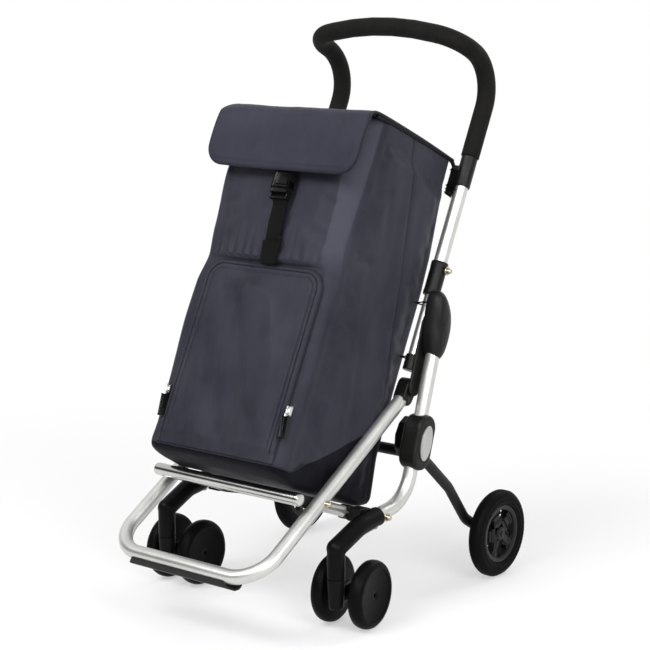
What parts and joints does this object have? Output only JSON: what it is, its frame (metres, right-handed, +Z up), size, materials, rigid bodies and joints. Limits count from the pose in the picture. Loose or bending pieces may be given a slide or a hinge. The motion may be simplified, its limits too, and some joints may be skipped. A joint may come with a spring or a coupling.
{
  "type": "shopping trolley",
  "caption": "Folding shopping trolley with a leaning fabric bag on an aluminium frame, twin-wheel front casters, folding rear legs and a foam-covered push handle.",
  "frame": {"origin": "centre of the bounding box footprint, on the ground", "axes": "+Z up, -Y towards the front (foot plate and casters), +Y towards the user, +X to the user's left"},
  "size_m": [0.492, 0.6906, 1.0094],
  "materials": {
    "aluminium": "satin polished tube",
    "plastic": "matte, fine grain",
    "foam": "matt closed-cell foam",
    "tyre": "matt with a soft sheen",
    "fabric": "coated woven polyester, soft sheen",
    "board": "matte",
    "steel": "zinc plated",
    "badge": "silver, blank"
  },
  "bodies": {
    "chassis": {"handle_tube": "aluminium", "handle_grip": "foam", "bag_body": "fabric", "bag_base_board": "board", "bag_pocket": "fabric", "collar_left": "plastic", "back_tube_left": "aluminium", "tube_sleeve_left": "plastic", "sleeve_bolt_left": "steel", "side_arm_left": "plastic", "collar_right": "plastic", "back_tube_right": "aluminium", "tube_sleeve_right": "plastic", "sleeve_bolt_right": "steel", "side_arm_right": "plastic"},
    "front_frame": {"front_tube": "aluminium", "foot_plate": "plastic", "knee_end_left": "plastic", "shelf_bolt_left": "steel", "knee_end_right": "plastic", "shelf_bolt_right": "steel"},
    "shelf": {"shelf_bar": "aluminium", "shelf_rail_left": "aluminium", "bar_bracket_left": "plastic", "rail_bracket_left": "plastic", "shelf_rail_right": "aluminium", "bar_bracket_right": "plastic", "rail_bracket_right": "plastic"},
    "legs": {"hinge_crossbar": "plastic", "upper_leg_left": "aluminium", "lower_leg_left": "aluminium", "leg_bolt_left": "steel", "leg_cover_left": "plastic", "hinge_housing_left": "plastic", "hinge_badge_left": "badge", "caster_head_left": "plastic", "upper_leg_right": "aluminium", "lower_leg_right": "aluminium", "leg_bolt_right": "steel", "leg_cover_right": "plastic", "hinge_housing_right": "plastic", "hinge_badge_right": "badge", "caster_head_right": "plastic"},
    "lid": {"bag_lid": "fabric", "buckle_socket": "plastic"},
    "buckle_tongue": {"buckle_tongue": "plastic"},
    "rear_leg_left": {"rear_leg_left": "plastic"},
    "rear_wheel_left": {"rear_tyre_left": "tyre", "rear_rim_left": "plastic"},
    "caster_left": {"caster_fork_left": "plastic"},
    "caster_wheel_left_outer": {"caster_wheel_left_outer": "tyre"},
    "caster_wheel_left_inner": {"caster_wheel_left_inner": "tyre"},
    "zip_slider_left": {"zip_slider_left": "steel"},
    "rear_leg_right": {"rear_leg_right": "plastic"},
    "rear_wheel_right": {"rear_tyre_right": "tyre", "rear_rim_right": "plastic"},
    "caster_right": {"caster_fork_right": "plastic"},
    "caster_wheel_right_outer": {"caster_wheel_right_outer": "tyre"},
    "caster_wheel_right_inner": {"caster_wheel_right_inner": "tyre"},
    "zip_slider_right": {"zip_slider_right": "steel"}
  },
  "joints": [
    {"name": "front_frame_fold", "type": "hinge", "parent": "chassis", "child": "front_frame", "pos_m": [0, 0.07525, 0.378], "axis": [-1, 0, 0], "range_deg": [0, 90], "deforming": ["bag_body", "bag_base_board", "bag_pocket", "zip_slider_left", "zip_slider_right", "buckle_tongue"]},
    {"name": "leg_fold", "type": "hinge", "parent": "chassis", "child": "legs", "pos_m": [0, 0.11725, 0.483], "axis": [-1, 0, 0], "range_deg": [0, 81.3]},
    {"name": "shelf_fold", "type": "hinge", "parent": "front_frame", "child": "shelf", "pos_m": [0, -0.16275, 0.219], "axis": [-1, 0, 0], "range_deg": [0, 59.7]},
    {"name": "lid_open", "type": "hinge", "parent": "chassis", "child": "lid", "pos_m": [0, 0.22665, 0.74916], "axis": [-1, 0, 0], "range_deg": [0, 48]},
    {"name": "buckle_release", "type": "slide", "parent": "chassis", "child": "buckle_tongue", "axis": [0, -0.4399, -0.898], "range_m": [0, 0.025]},
    {"name": "rear_leg_left_fold", "type": "hinge", "parent": "legs", "child": "rear_leg_left", "pos_m": [0.198, 0.05795, 0.287], "axis": [1, 0, 0], "range_deg": [0, 90]},
    {"name": "rear_wheel_left_spin", "type": "hinge", "parent": "rear_leg_left", "child": "rear_wheel_left", "pos_m": [0.231, 0.26525, 0.08], "axis": [1, 0, 0], "continuous": true},
    {"name": "caster_left_swivel", "type": "hinge", "parent": "legs", "child": "caster_left", "pos_m": [0.194, -0.16275, 0.0945], "axis": [0, 0, 1], "continuous": true},
    {"name": "caster_wheel_left_outer_spin", "type": "hinge", "parent": "caster_left", "child": "caster_wheel_left_outer", "pos_m": [0.22463, -0.10861, 0.059], "axis": [0.9925, 0.1219, 0], "continuous": true},
    {"name": "caster_wheel_left_inner_spin", "type": "hinge", "parent": "caster_left", "child": "caster_wheel_left_inner", "pos_m": [0.15118, -0.11763, 0.059], "axis": [0.9925, 0.1219, 0], "continuous": true},
    {"name": "zip_left_slide", "type": "slide", "parent": "chassis", "child": "zip_slider_left", "axis": [0, 0.4399, 0.898], "range_m": [0, 0.14]},
    {"name": "rear_leg_right_fold", "type": "hinge", "parent": "legs", "child": "rear_leg_right", "pos_m": [-0.198, 0.05795, 0.287], "axis": [1, 0, 0], "range_deg": [0, 90]},
    {"name": "rear_wheel_right_spin", "type": "hinge", "parent": "rear_leg_right", "child": "rear_wheel_right", "pos_m": [-0.231, 0.26525, 0.08], "axis": [1, 0, 0], "continuous": true},
    {"name": "caster_right_swivel", "type": "hinge", "parent": "legs", "child": "caster_right", "pos_m": [-0.194, -0.16275, 0.0945], "axis": [0, 0, 1], "continuous": true},
    {"name": "caster_wheel_right_outer_spin", "type": "hinge", "parent": "caster_right", "child": "caster_wheel_right_outer", "pos_m": [-0.23187, -0.1134, 0.059], "axis": [0.9998, 0.0175, 0], "continuous": true},
    {"name": "caster_wheel_right_inner_spin", "type": "hinge", "parent": "caster_right", "child": "caster_wheel_right_inner", "pos_m": [-0.15788, -0.11211, 0.059], "axis": [0.9998, 0.0175, 0], "continuous": true},
    {"name": "zip_right_slide", "type": "slide", "parent": "chassis", "child": "zip_slider_right", "axis": [0, 0.4399, 0.898], "range_m": [0, 0.14]}
  ],
  "couplings": [
    {"joint": "leg_fold", "follows": "front_frame_fold", "ratio": 0.9025},
    {"joint": "shelf_fold", "follows": "front_frame_fold", "ratio": 0.6621},
    {"joint": "rear_leg_right_fold", "follows": "rear_leg_left_fold", "ratio": 1}
  ]
}
